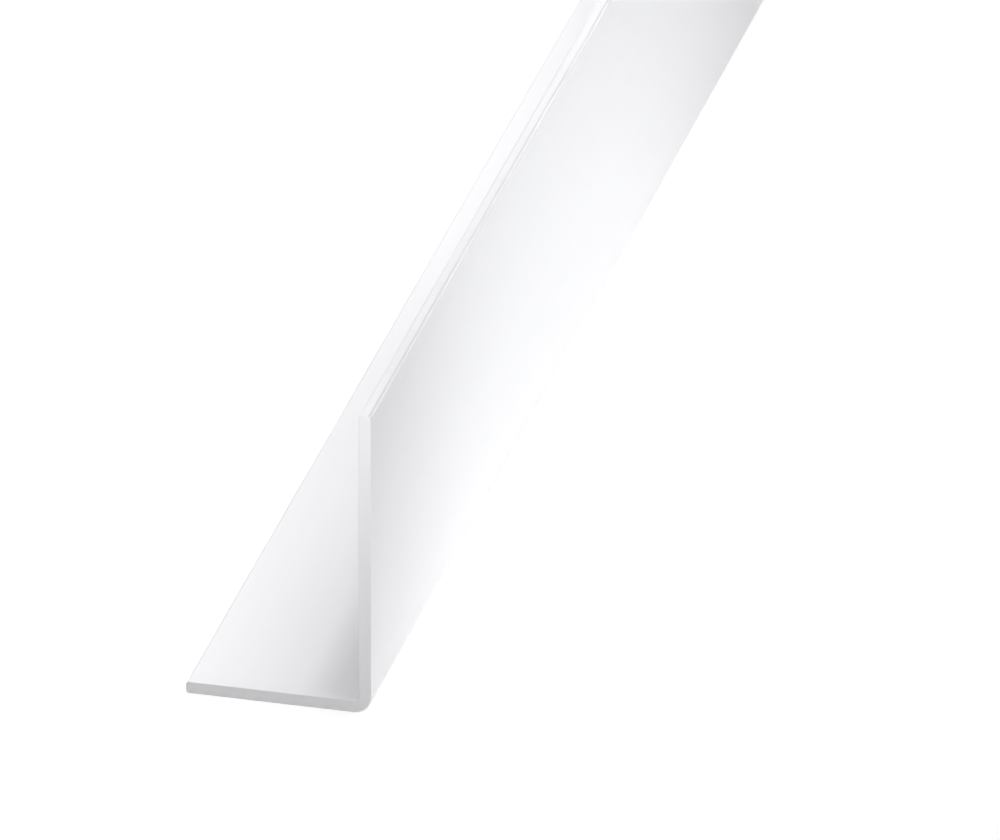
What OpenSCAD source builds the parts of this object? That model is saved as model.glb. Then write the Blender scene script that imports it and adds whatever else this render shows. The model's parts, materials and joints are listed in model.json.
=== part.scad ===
// Unequal PVC angle: one extruded length of L-section trim, lying on its short leg.
// The length runs along Y, the long leg stands up along Z and its outer face looks along +X.
// The origin is the middle of the footprint, on the surface that the short leg lies on.

/* [Section] */
// Outside width of the long leg, from the underside of the short leg to the toe
long_leg = 26; // [12:0.5:80]
// Outside width of the short leg, from the outer face of the long leg to the toe
short_leg = 15; // [10:0.5:60]
// Thickness of both legs and of the bend between them
wall = 1; // [0.9:0.1:3]
// Radius of the fillet in the inside corner
root_radius = 0.5; // [0.2:0.1:3]
// Radius that rounds both edges of each toe
toe_radius = 0.25; // [0.1:0.05:0.4]

/* [Stock] */
// Length that the stock is cut to
stock_length = 1000; // [100:10:4000]

/* [Hidden] */
$fn = 96;

// The heel is concentric with the root, so the wall keeps its thickness round the bend.
heel_radius = root_radius + wall;

// The quarter ring that joins the two legs, with the heel's sharp corner at the origin.
module heel_bend() {
    intersection() {
        translate([heel_radius, heel_radius]) difference() {
            circle(r = heel_radius);
            circle(r = root_radius);
        }
        square(heel_radius);
    }
}

// A leg that runs up from the bend to a toe at the given width, with its outer face on x = 0.
module leg(width) {
    toe_start = width - toe_radius;
    translate([0, heel_radius]) square([wall, toe_start - heel_radius]);
    translate([toe_radius, toe_start]) square([wall - 2 * toe_radius, toe_radius]);
    for (edge_x = [toe_radius, wall - toe_radius])
        translate([edge_x, toe_start]) circle(r = toe_radius);
}

// The L-section, with the long leg up Y and the short leg along X.
module section() {
    heel_bend();
    leg(long_leg);
    mirror([1, -1]) leg(short_leg);
}

// One sawn length of the extrusion.
module angle_profile() {
    color("white")
        translate([short_leg / 2, stock_length / 2, 0])
            rotate([90, 0, 0])
                linear_extrude(height = stock_length)
                    mirror([1, 0]) section();
}

angle_profile();
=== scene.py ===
"""Unequal PVC angle: the finished look of one length of white L-section trim, in a plain studio.

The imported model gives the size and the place. The angle lies on its short leg with its length
along Y, its long leg upright along Z and the long leg's outer face towards +X. The front end is
at the low end of Y.
"""

import json
from math import atan, cos, radians, sin

import bmesh
import bpy
from bpy.props import FloatProperty, FloatVectorProperty, IntProperty, PointerProperty
from bpy.types import Operator, Panel, PropertyGroup
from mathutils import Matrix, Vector


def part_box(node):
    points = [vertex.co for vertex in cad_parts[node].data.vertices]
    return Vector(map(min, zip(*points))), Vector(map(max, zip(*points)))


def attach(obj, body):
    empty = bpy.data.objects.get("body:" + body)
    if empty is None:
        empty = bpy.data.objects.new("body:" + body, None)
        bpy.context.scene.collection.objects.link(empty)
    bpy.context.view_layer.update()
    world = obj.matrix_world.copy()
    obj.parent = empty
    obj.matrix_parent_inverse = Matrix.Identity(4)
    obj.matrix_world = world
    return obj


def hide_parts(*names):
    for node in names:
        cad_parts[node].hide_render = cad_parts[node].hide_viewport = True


bl_info = {
    "name": "Unequal PVC Angle",
    "version": (1, 0, 0),
    "blender": (4, 5, 0),
    "location": "View3D > Sidebar > PVC Angle",
    "description": "Models a length of white unequal PVC angle and stands it in a plain studio",
    "category": "Add Mesh",
}

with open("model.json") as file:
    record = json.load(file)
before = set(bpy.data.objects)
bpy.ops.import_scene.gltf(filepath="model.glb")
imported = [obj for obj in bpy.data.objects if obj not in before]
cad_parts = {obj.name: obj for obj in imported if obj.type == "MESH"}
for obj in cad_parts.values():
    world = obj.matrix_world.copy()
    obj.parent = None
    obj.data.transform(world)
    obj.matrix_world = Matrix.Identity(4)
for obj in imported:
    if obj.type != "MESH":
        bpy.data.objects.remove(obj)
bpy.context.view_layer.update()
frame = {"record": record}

NODE = "angle_profile"
BODY = "root"
MM = 0.001

# The angle's material slots. The last is for the toes' outer edges: glossier, and darker to paint a
# line of shade along them
SKIN, SAWN, GLOSSY_EDGE_PAINTED_SHADE = range(3)

# Refraction of rigid PVC
PVC_IOR = 1.53

# Scale at which the wave texture makes one band in each metre
ONE_BAND_SCALE = 0.314

# Faces across the broken edge of a sawn end
BREAK_SEGMENTS = 3

# Size of the small lamps, in metres, which softens their shadows
LAMP_RADIUS = 0.05

# How far off, in millimetres, a vertex still counts as on a corner of the section
ON_CORNER = 1e-4

# The picture's frame, and where the sharp corner of the heel shows in it at the front end
IMAGE_WIDTH = 1000
IMAGE_HEIGHT = 840
HEEL_PIXEL = (371.5, 714.6)


def mount_place(name):
    """The place of one of the record's mounts, in metres."""
    places = {mount["name"]: mount["pos_m"] for mount in frame["record"]["mounts"]}
    return Vector(places[name])


LOW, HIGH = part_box(NODE)
WALL = mount_place("long_leg_outer_face").x - mount_place("long_leg_inner_face").x


class AngleSizes(PropertyGroup):
    """Sizes of the section and of the stock."""

    long_leg: FloatProperty(
        name="Long leg",
        description="Outside width of the upright leg",
        default=HIGH.z - LOW.z,
        min=5 * MM,
        precision=4,
        subtype="DISTANCE",
        unit="LENGTH",
    )
    short_leg: FloatProperty(
        name="Short leg",
        description="Outside width of the leg that lies flat",
        default=HIGH.x - LOW.x,
        min=5 * MM,
        precision=4,
        subtype="DISTANCE",
        unit="LENGTH",
    )
    wall: FloatProperty(
        name="Wall",
        description="Thickness of both legs",
        default=WALL,
        min=0.9 * MM,
        precision=4,
        subtype="DISTANCE",
        unit="LENGTH",
    )
    stock_length: FloatProperty(
        name="Length",
        description="Length that the stock is cut to",
        default=HIGH.y - LOW.y,
        min=100 * MM,
        precision=3,
        subtype="DISTANCE",
        unit="LENGTH",
    )
    root_radius: FloatProperty(
        name="Root radius",
        description="Fillet in the inside corner; the heel outside it is concentric",
        default=0.5 * MM,
        min=0.1 * MM,
        precision=5,
        subtype="DISTANCE",
        unit="LENGTH",
    )
    toe_radius: FloatProperty(
        name="Toe radius",
        description="Rounding of both edges of each toe",
        default=0.25 * MM,
        min=0.05 * MM,
        max=0.44 * MM,
        precision=5,
        subtype="DISTANCE",
        unit="LENGTH",
    )
    end_break: FloatProperty(
        name="End break",
        description="Width of the broken edge round each sawn end",
        default=0.05 * MM,
        min=0.01 * MM,
        max=0.2 * MM,
        precision=5,
        subtype="DISTANCE",
        unit="LENGTH",
    )
    arc_segments: IntProperty(
        name="Arc segments",
        description="Faces round the heel; the smaller arcs get fewer",
        default=20,
        min=8,
        max=48,
    )
    length_cuts: IntProperty(
        name="Length cuts",
        description="Cuts along the length, which keep the long faces well shaped",
        default=39,
        min=0,
        max=200,
    )


class AngleFinish(PropertyGroup):
    """Colours and surface of the extruded skin, of the toes' outer edges, whose darker colour is
    painted shade, and of the sawn ends.
    """

    skin_colour: FloatVectorProperty(
        name="Skin colour",
        description="Base colour of the extruded skin",
        default=(0.77, 0.767, 0.784),
        min=0.0,
        max=1.0,
        size=3,
        subtype="COLOR",
    )
    skin_roughness: FloatProperty(
        name="Skin roughness",
        description="Mean roughness of the extruded skin",
        default=0.52,
        min=0.0,
        max=1.0,
        subtype="FACTOR",
    )
    skin_sheen: FloatProperty(
        name="Skin sheen",
        description="Strength of the extruded skin's reflection, with half as the plain plastic's",
        default=0.5,
        min=0.0,
        max=1.0,
        subtype="FACTOR",
    )
    # Darker than the skin: this colour paints a dark line of shade along the toes' outer edges
    edge_painted_shade_colour: FloatVectorProperty(
        name="Rubbed colour",
        description="Base colour of the toes' outer edges, which handling greys a little",
        default=(0.70, 0.697, 0.713),
        min=0.0,
        max=1.0,
        size=3,
        subtype="COLOR",
    )
    rubbed_roughness: FloatProperty(
        name="Rubbed roughness",
        description="Mean roughness of the toes' outer edges, which handling rubs smooth",
        default=0.2,
        min=0.05,
        max=1.0,
        subtype="FACTOR",
    )
    rubbed_sheen: FloatProperty(
        name="Rubbed sheen",
        description="Strength of the reflection on the toes' outer edges",
        default=1.0,
        min=0.0,
        max=1.0,
        subtype="FACTOR",
    )
    die_line_depth: FloatProperty(
        name="Die line depth",
        description="Depth of the faint lines that the die draws along the length",
        default=0.0006 * MM,
        min=0.0,
        precision=7,
        subtype="DISTANCE",
        unit="LENGTH",
    )
    sawn_colour: FloatVectorProperty(
        name="Sawn colour",
        description="Base colour of the sawn ends",
        default=(0.75, 0.747, 0.764),
        min=0.0,
        max=1.0,
        size=3,
        subtype="COLOR",
    )
    sawn_roughness: FloatProperty(
        name="Sawn roughness",
        description="Mean roughness of the sawn ends",
        default=0.62,
        min=0.0,
        max=1.0,
        subtype="FACTOR",
    )
    saw_mark_pitch: FloatProperty(
        name="Saw mark pitch",
        description="Distance between the marks that the saw leaves on the ends",
        default=0.35 * MM,
        min=0.05 * MM,
        precision=6,
        subtype="DISTANCE",
        unit="LENGTH",
    )
    saw_mark_depth: FloatProperty(
        name="Saw mark depth",
        description="Depth of the marks that the saw leaves on the ends",
        default=0.004 * MM,
        min=0.0,
        precision=7,
        subtype="DISTANCE",
        unit="LENGTH",
    )


class StudioSettings(PropertyGroup):
    """The floor, the light and the camera."""

    floor_colour: FloatVectorProperty(
        name="Floor colour",
        description="Base colour of the plain floor",
        default=(0.50, 0.50, 0.50),
        min=0.0,
        max=1.0,
        size=3,
        subtype="COLOR",
    )
    floor_glow: FloatProperty(
        name="Floor glow",
        description="Light that the floor gives off by itself, as a light table does",
        default=0.635,
        min=0.0,
    )
    key_power: FloatProperty(
        name="Key power",
        description="Power of the large softbox far above the long leg's side",
        default=238.0,
        min=0.0,
        precision=4,
        unit="POWER",
    )
    top_power: FloatProperty(
        name="Top power",
        description="Power of the long softbox above the long leg's side",
        default=7.4,
        min=0.0,
        precision=4,
        unit="POWER",
    )
    rim_power: FloatProperty(
        name="Rim power",
        description="Power of the low softbox behind the angle on the short leg's side",
        default=68.0,
        min=0.0,
        precision=4,
        unit="POWER",
    )
    edge_power: FloatProperty(
        name="Edge power",
        description="Power of the low softbox behind the angle on the long leg's side",
        default=18.0,
        min=0.0,
        precision=4,
        unit="POWER",
    )
    side_power: FloatProperty(
        name="Side power",
        description="Power of the long softbox close by on the short leg's side",
        default=0.97,
        min=0.0,
        precision=4,
        unit="POWER",
    )
    end_power: FloatProperty(
        name="End power",
        description="Power of the small softbox that lights the front end",
        default=0.006,
        min=0.0,
        precision=4,
        unit="POWER",
    )
    pool_power: FloatProperty(
        name="Pool power",
        description="Power of the lamp that lights the floor beside the long leg",
        default=8.0,
        min=0.0,
        precision=4,
        unit="POWER",
    )
    foot_power: FloatProperty(
        name="Foot power",
        description="Power of the lamp that lights the floor at the foot of the long leg",
        default=2.2,
        min=0.0,
        precision=4,
        unit="POWER",
    )
    face_power: FloatProperty(
        name="Face power",
        description="Power of the lamp that lights the foot of the long leg",
        default=18.2,
        min=0.0,
        precision=4,
        unit="POWER",
    )
    far_power: FloatProperty(
        name="Far power",
        description="Power of the lamp that lights the foot of the long leg farther back",
        default=2.0,
        min=0.0,
        precision=4,
        unit="POWER",
    )
    front_power: FloatProperty(
        name="Front power",
        description="Power of the lamp that lights the floor before the front end",
        default=6.1,
        min=0.0,
        precision=4,
        unit="POWER",
    )
    camera_azimuth: FloatProperty(
        name="Camera azimuth",
        description="Angle of the camera from the end view towards the long leg's outer face",
        default=radians(14.2),
        subtype="ANGLE",
        unit="ROTATION",
    )
    camera_elevation: FloatProperty(
        name="Camera elevation",
        description="Angle of the camera above the floor",
        default=radians(26.8),
        subtype="ANGLE",
        unit="ROTATION",
    )
    camera_depth: FloatProperty(
        name="Camera depth",
        description="Distance of the front end's heel from the camera, along its axis",
        default=1.70,
        min=0.2,
        subtype="DISTANCE",
        unit="LENGTH",
    )
    pixels_per_mm: FloatProperty(
        name="Pixels per millimetre",
        description="Scale of the picture at the front end's heel",
        default=12.806,
        min=0.1,
    )


class PvcAngleSettings(PropertyGroup):
    """Everything that a user would change."""

    sizes: PointerProperty(type=AngleSizes)
    finish: PointerProperty(type=AngleFinish)
    studio: PointerProperty(type=StudioSettings)


# The angle


def section_corners(sizes):
    """The six sharp corners of the section at the front end, in millimetres, from the heel round."""
    right = sizes.short_leg / 2 / MM
    left = -right
    front = -sizes.stock_length / 2 / MM
    wall = sizes.wall / MM
    top = sizes.long_leg / MM
    return {
        "heel": Vector((right, front, 0)),
        "long_toe_outer": Vector((right, front, top)),
        "long_toe_inner": Vector((right - wall, front, top)),
        "root": Vector((right - wall, front, wall)),
        "short_toe_inner": Vector((left, front, wall)),
        "short_toe_outer": Vector((left, front, 0)),
    }


def edges_through(bm, corner):
    """The edges that run along the length through a corner of the section."""
    def on_corner(vert):
        return (vert.co - corner).cross(Vector((0, 1, 0))).length < ON_CORNER

    return [edge for edge in bm.edges if all(on_corner(vert) for vert in edge.verts)]


def round_edges(bm, edges, radius, segments):
    """Rounds edges to a radius, and gives the faces of the round."""
    bevelled = bmesh.ops.bevel(
        bm,
        geom=edges,
        offset=radius,
        offset_type="OFFSET",
        affect="EDGES",
        segments=segments,
        profile=0.5,
        material=-1,
    )
    return bevelled["faces"]


def end_faces(bm):
    """The two flat faces across the length."""
    return [face for face in bm.faces if abs(face.normal.y) > 0.999]


def angle_mesh(sizes):
    """The section drawn along its length, with its heel, root and toes rounded and its ends broken."""
    corners = section_corners(sizes)
    bm = bmesh.new()
    section = bm.faces.new([bm.verts.new(corner) for corner in corners.values()])
    drawn = bmesh.ops.extrude_face_region(bm, geom=[section])
    far_verts = [item for item in drawn["geom"] if isinstance(item, bmesh.types.BMVert)]
    bmesh.ops.translate(bm, verts=far_verts, vec=(0, sizes.stock_length / MM, 0))
    bmesh.ops.recalc_face_normals(bm, faces=bm.faces)

    root_radius = sizes.root_radius / MM
    heel_radius = root_radius + sizes.wall / MM
    toe_radius = sizes.toe_radius / MM
    small_arc = sizes.arc_segments // 2
    round_edges(bm, edges_through(bm, corners["heel"]), heel_radius, sizes.arc_segments)
    round_edges(bm, edges_through(bm, corners["root"]), root_radius, small_arc)
    # The outer edges of the toes alone get more gloss and a darker colour, which paints a line of shade
    # along them
    for side, finish in (("toe_inner", SKIN), ("toe_outer", GLOSSY_EDGE_PAINTED_SHADE)):
        toes = [corner for name, corner in corners.items() if side in name]
        toe_edges = [edge for corner in toes for edge in edges_through(bm, corner)]
        for face in round_edges(bm, toe_edges, toe_radius, small_arc):
            face.material_index = finish

    ends = end_faces(bm)
    sawn_rim = [edge for edge in bm.edges if any(face in ends for face in edge.link_faces)]
    round_edges(bm, sawn_rim, sizes.end_break / MM, BREAK_SEGMENTS)

    long_edges = [edge for edge in bm.edges if edge.calc_length() > sizes.stock_length / MM / 2]
    bmesh.ops.subdivide_edges(bm, edges=long_edges, cuts=sizes.length_cuts, use_grid_fill=True)

    for face in bm.faces:
        face.smooth = True
    for face in end_faces(bm):
        face.material_index = SAWN
    bmesh.ops.scale(bm, vec=(MM, MM, MM), verts=bm.verts)
    mesh = bpy.data.meshes.new("pvc_angle")
    bm.to_mesh(mesh)
    bm.free()
    return mesh


# Materials


def new_material(name):
    """A new material, its node tree, its shader and its object coordinates."""
    material = bpy.data.materials.new(name)
    material.use_nodes = True
    tree = material.node_tree
    shader = tree.nodes["Principled BSDF"]
    coordinates = tree.nodes.new("ShaderNodeTexCoord").outputs["Object"]
    return material, tree, shader, coordinates


def mapped(tree, coordinates, scale=(1, 1, 1), rotation=(0, 0, 0)):
    """Coordinates scaled and turned."""
    mapping = tree.nodes.new("ShaderNodeMapping")
    mapping.inputs["Scale"].default_value = scale
    mapping.inputs["Rotation"].default_value = rotation
    tree.links.new(coordinates, mapping.inputs["Vector"])
    return mapping.outputs["Vector"]


def noise(tree, coordinates, grain, detail=2.0):
    """Noise whose lumps are about one grain across, in metres."""
    texture = tree.nodes.new("ShaderNodeTexNoise")
    texture.inputs["Scale"].default_value = 1 / grain
    texture.inputs["Detail"].default_value = detail
    tree.links.new(coordinates, texture.inputs["Vector"])
    return texture.outputs["Fac"]


def in_range(tree, value, low, high):
    """A noise value, which seldom leaves 0.3 to 0.7, spread from low to high."""
    spread = tree.nodes.new("ShaderNodeMapRange")
    spread.inputs["From Min"].default_value = 0.3
    spread.inputs["From Max"].default_value = 0.7
    spread.inputs["To Min"].default_value = low
    spread.inputs["To Max"].default_value = high
    tree.links.new(value, spread.inputs["Value"])
    return spread.outputs["Result"]


def mixed_colours(tree, factor, first, second):
    """A colour that goes from first to second with the factor."""
    mix = tree.nodes.new("ShaderNodeMix")
    mix.data_type = "RGBA"
    mix.inputs["A"].default_value = (*first, 1)
    mix.inputs["B"].default_value = (*second, 1)
    tree.links.new(factor, mix.inputs["Factor"])
    return mix.outputs["Result"]


def relief(tree, height, depth, under=None):
    """A normal bent by a height map that is depth metres deep, over the relief under it."""
    bump = tree.nodes.new("ShaderNodeBump")
    bump.inputs["Distance"].default_value = depth
    tree.links.new(height, bump.inputs["Height"])
    if under is not None:
        tree.links.new(under, bump.inputs["Normal"])
    return bump.outputs["Normal"]


def shaded(colour, share):
    """A colour scaled by a share."""
    return tuple(channel * share for channel in colour)


def skin_material(name, finish, base, rough, sheen):
    """White PVC as it leaves the die: faint lines along the length, in this colour and gloss."""
    line_stretch, line_width = 0.012, 0.6 * MM
    cloud_size, cloud_shade = 22 * MM, 0.985
    peel_size = 0.25 * MM
    rough_spread = 0.04

    material, tree, shader, coordinates = new_material(name)
    streaks = mapped(tree, coordinates, scale=(1, line_stretch, 1))
    die_lines = noise(tree, streaks, line_width, detail=3)
    clouds = noise(tree, coordinates, cloud_size)
    peel = noise(tree, coordinates, peel_size)

    colour = mixed_colours(tree, clouds, shaded(base, cloud_shade), base)
    tree.links.new(colour, shader.inputs["Base Color"])
    roughness = in_range(tree, die_lines, rough - rough_spread, rough + rough_spread)
    tree.links.new(roughness, shader.inputs["Roughness"])
    lines = relief(tree, die_lines, finish.die_line_depth)
    normal = relief(tree, peel, finish.die_line_depth / 4, lines)
    tree.links.new(normal, shader.inputs["Normal"])
    shader.inputs["IOR"].default_value = PVC_IOR
    shader.inputs["Specular IOR Level"].default_value = sheen
    return material


def sawn_material(finish):
    """The sawn ends: matt, with fine marks left by the saw's teeth."""
    mark_tilt = radians(8)
    grit_size, grit_shade = 0.12 * MM, 0.96
    rough, rough_spread = finish.sawn_roughness, 0.08

    material, tree, shader, coordinates = new_material("white_pvc_sawn")
    tilted = mapped(tree, coordinates, rotation=(0, mark_tilt, 0))
    marks = tree.nodes.new("ShaderNodeTexWave")
    marks.bands_direction = "Z"
    marks.inputs["Scale"].default_value = ONE_BAND_SCALE / finish.saw_mark_pitch
    marks.inputs["Distortion"].default_value = 3.0
    marks.inputs["Detail"].default_value = 3.0
    tree.links.new(tilted, marks.inputs["Vector"])
    grit = noise(tree, coordinates, grit_size, detail=4)

    sawn_colour = finish.sawn_colour
    colour = mixed_colours(tree, grit, shaded(sawn_colour, grit_shade), sawn_colour)
    tree.links.new(colour, shader.inputs["Base Color"])
    roughness = in_range(tree, grit, rough - rough_spread, rough + rough_spread)
    tree.links.new(roughness, shader.inputs["Roughness"])
    saw_marks = relief(tree, marks.outputs["Fac"], finish.saw_mark_depth)
    normal = relief(tree, grit, finish.saw_mark_depth / 2, saw_marks)
    tree.links.new(normal, shader.inputs["Normal"])
    shader.inputs["IOR"].default_value = PVC_IOR
    return material


def floor_material(colour, glow):
    """A plain matt floor that glows by itself, so that it is pale all over."""
    material = bpy.data.materials.new("pale_floor")
    material.use_nodes = True
    shader = material.node_tree.nodes["Principled BSDF"]
    shader.inputs["Base Color"].default_value = (*colour, 1)
    shader.inputs["Roughness"].default_value = 0.9
    shader.inputs["Specular IOR Level"].default_value = 0.1
    shader.inputs["Emission Color"].default_value = (1, 1, 1, 1)
    shader.inputs["Emission Strength"].default_value = glow
    return material


# The studio


def add_object(name, data):
    """A new object in the scene."""
    obj = bpy.data.objects.new(name, data)
    bpy.context.scene.collection.objects.link(obj)
    return obj


def add_floor(studio):
    """The floor that the short leg lies on."""
    half_width = 40.0
    bm = bmesh.new()
    bmesh.ops.create_grid(bm, x_segments=1, y_segments=1, size=half_width)
    mesh = bpy.data.meshes.new("floor")
    bm.to_mesh(mesh)
    bm.free()
    floor = add_object("floor", mesh)
    floor.data.materials.append(floor_material(studio.floor_colour, studio.floor_glow))


def from_heel(right, behind, above):
    """A place given in millimetres from the sharp corner of the heel at the front end."""
    return Vector((HIGH.x, LOW.y, LOW.z)) + Vector((right, behind, above)) * MM


def add_lamp(name, light, place, aim):
    """A light at a place, turned to its aim, that doesn't show itself."""
    lamp = add_object(name, light)
    lamp.location = place
    lamp.rotation_euler = (aim - place).to_track_quat("-Z", "Y").to_euler()
    lamp.visible_camera = False


def add_softbox(name, place, aim, size, power):
    """A rectangular soft light, with its length and width in metres."""
    light = bpy.data.lights.new(name, "AREA")
    light.shape = "RECTANGLE"
    light.size, light.size_y = size
    light.energy = power
    add_lamp(name, light, place, aim)


def add_spot(name, place, aim, radius, power):
    """A soft-edged lamp whose light is a patch of this radius, in metres, at its aim."""
    light = bpy.data.lights.new(name, "SPOT")
    light.spot_size = 2 * atan(radius / (aim - place).length)
    light.spot_blend = 1.0
    light.shadow_soft_size = LAMP_RADIUS
    light.energy = power
    add_lamp(name, light, place, aim)


def add_lights(studio):
    """Large softboxes above and behind, a long one beside the short leg, and lamps at the front end."""
    for name, place, aim, size, power in (
        ("key", (1450, 3000, 5820), (0, 3000, 0), (6.0, 3.0), studio.key_power),
        ("top", (484, 1000, 1940), (0, 1000, 0), (4.0, 1.0), studio.top_power),
        ("rim", (-1120, 4500, 1680), (0, 0, 13), (2.0, 1.4), studio.rim_power),
        ("edge", (2400, 4500, 360), (0, 0, 26), (1.2, 0.7), studio.edge_power),
        ("side", (-260, 650, 90), (-4, 650, 5), (1.0, 0.08), studio.side_power),
        ("end", (-1, -28, 34), (-1, 0, 20), (0.012, 0.012), studio.end_power),
    ):
        add_softbox(name, from_heel(*place), from_heel(*aim), size, power)
    for name, place, aim, radius, power in (
        ("pool", (-80, 90, 500), (15, 90, 0), 0.045, studio.pool_power),
        ("foot", (250, 50, 300), (6, 50, 0), 0.036, studio.foot_power),
        ("face", (400, 300, 60), (0, 55, -12), 0.035, studio.face_power),
        ("far", (400, 400, 60), (0, 145, -20), 0.045, studio.far_power),
        ("front", (60, -20, 400), (-6, -6, 0), 0.030, studio.front_power),
    ):
        add_spot(name, from_heel(*place), from_heel(*aim), radius, power)


def add_camera(studio):
    """A camera on the picture's angle that puts the front end's heel on its pixel."""
    azimuth, elevation = studio.camera_azimuth, studio.camera_elevation
    back = Vector((sin(azimuth) * cos(elevation), -cos(azimuth) * cos(elevation), sin(elevation)))
    right = Vector((cos(azimuth), sin(azimuth), 0))
    up = back.cross(right)
    metres_per_pixel = MM / studio.pixels_per_mm
    across = (HEEL_PIXEL[0] - IMAGE_WIDTH / 2) * metres_per_pixel
    above = (IMAGE_HEIGHT / 2 - HEEL_PIXEL[1]) * metres_per_pixel

    data = bpy.data.cameras.new("camera")
    data.lens = data.sensor_width * studio.camera_depth / (IMAGE_WIDTH * metres_per_pixel)
    camera = add_object("camera", data)
    heel = Vector((HIGH.x, LOW.y, LOW.z))
    camera.location = heel - right * across - up * above + back * studio.camera_depth
    camera.rotation_euler = (-back).to_track_quat("-Z", "Y").to_euler()
    bpy.context.scene.camera = camera


class PVCANGLE_OT_profile(Operator):
    """Model the length of angle with its extruded skin and sawn ends"""

    bl_idname = "pvc_angle.profile"
    bl_label = "Angle Profile"
    bl_options = {"REGISTER", "UNDO"}

    def execute(self, context):
        settings = context.scene.pvc_angle
        finish = settings.finish
        angle = add_object("pvc_angle", angle_mesh(settings.sizes))
        skin = finish.skin_colour, finish.skin_roughness, finish.skin_sheen
        # The toes' outer edges: more gloss, and a darker colour that is painted shade
        glossy_edge_and_painted_shade = finish.edge_painted_shade_colour, finish.rubbed_roughness, finish.rubbed_sheen
        angle.data.materials.append(skin_material("white_pvc_skin", finish, *skin))
        angle.data.materials.append(sawn_material(finish))
        angle.data.materials.append(skin_material("white_pvc_glossy_edge_painted_shade", finish, *glossy_edge_and_painted_shade))
        # The largest faces alone set the normals, so the flats stay flat
        normals = angle.modifiers.new("flat_faces", "WEIGHTED_NORMAL")
        normals.weight = 100
        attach(angle, BODY)
        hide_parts(NODE)
        return {"FINISHED"}


class PVCANGLE_OT_studio(Operator):
    """Set up the floor, the light and the camera"""

    bl_idname = "pvc_angle.studio"
    bl_label = "Studio"
    bl_options = {"REGISTER", "UNDO"}

    def execute(self, context):
        studio = context.scene.pvc_angle.studio
        add_floor(studio)
        add_lights(studio)
        add_camera(studio)
        context.scene.view_settings.view_transform = "Standard"
        return {"FINISHED"}


class VIEW3D_PT_pvc_angle(Panel):
    """The angle's settings and the buttons that make it"""

    bl_label = "PVC Angle"
    bl_space_type = "VIEW_3D"
    bl_region_type = "UI"
    bl_category = "PVC Angle"

    def draw(self, context):
        settings = context.scene.pvc_angle
        for title, group, operator in (
            ("Section and stock", settings.sizes, None),
            ("Finish", settings.finish, PVCANGLE_OT_profile),
            ("Studio", settings.studio, PVCANGLE_OT_studio),
        ):
            box = self.layout.box()
            box.label(text=title)
            for name in group.__annotations__:
                box.prop(group, name)
            if operator is not None:
                box.operator(operator.bl_idname)


CLASSES = (
    AngleSizes,
    AngleFinish,
    StudioSettings,
    PvcAngleSettings,
    PVCANGLE_OT_profile,
    PVCANGLE_OT_studio,
    VIEW3D_PT_pvc_angle,
)


def register():
    """Register the classes and hang the settings on the scene."""
    for cls in CLASSES:
        bpy.utils.register_class(cls)
    bpy.types.Scene.pvc_angle = PointerProperty(type=PvcAngleSettings)


def unregister():
    """Take the settings and the classes away again."""
    del bpy.types.Scene.pvc_angle
    for cls in reversed(CLASSES):
        bpy.utils.unregister_class(cls)


def main():
    """Make the angle and its studio."""
    register()
    bpy.ops.pvc_angle.profile()
    bpy.ops.pvc_angle.studio()


if __name__ == "__main__":
    main()
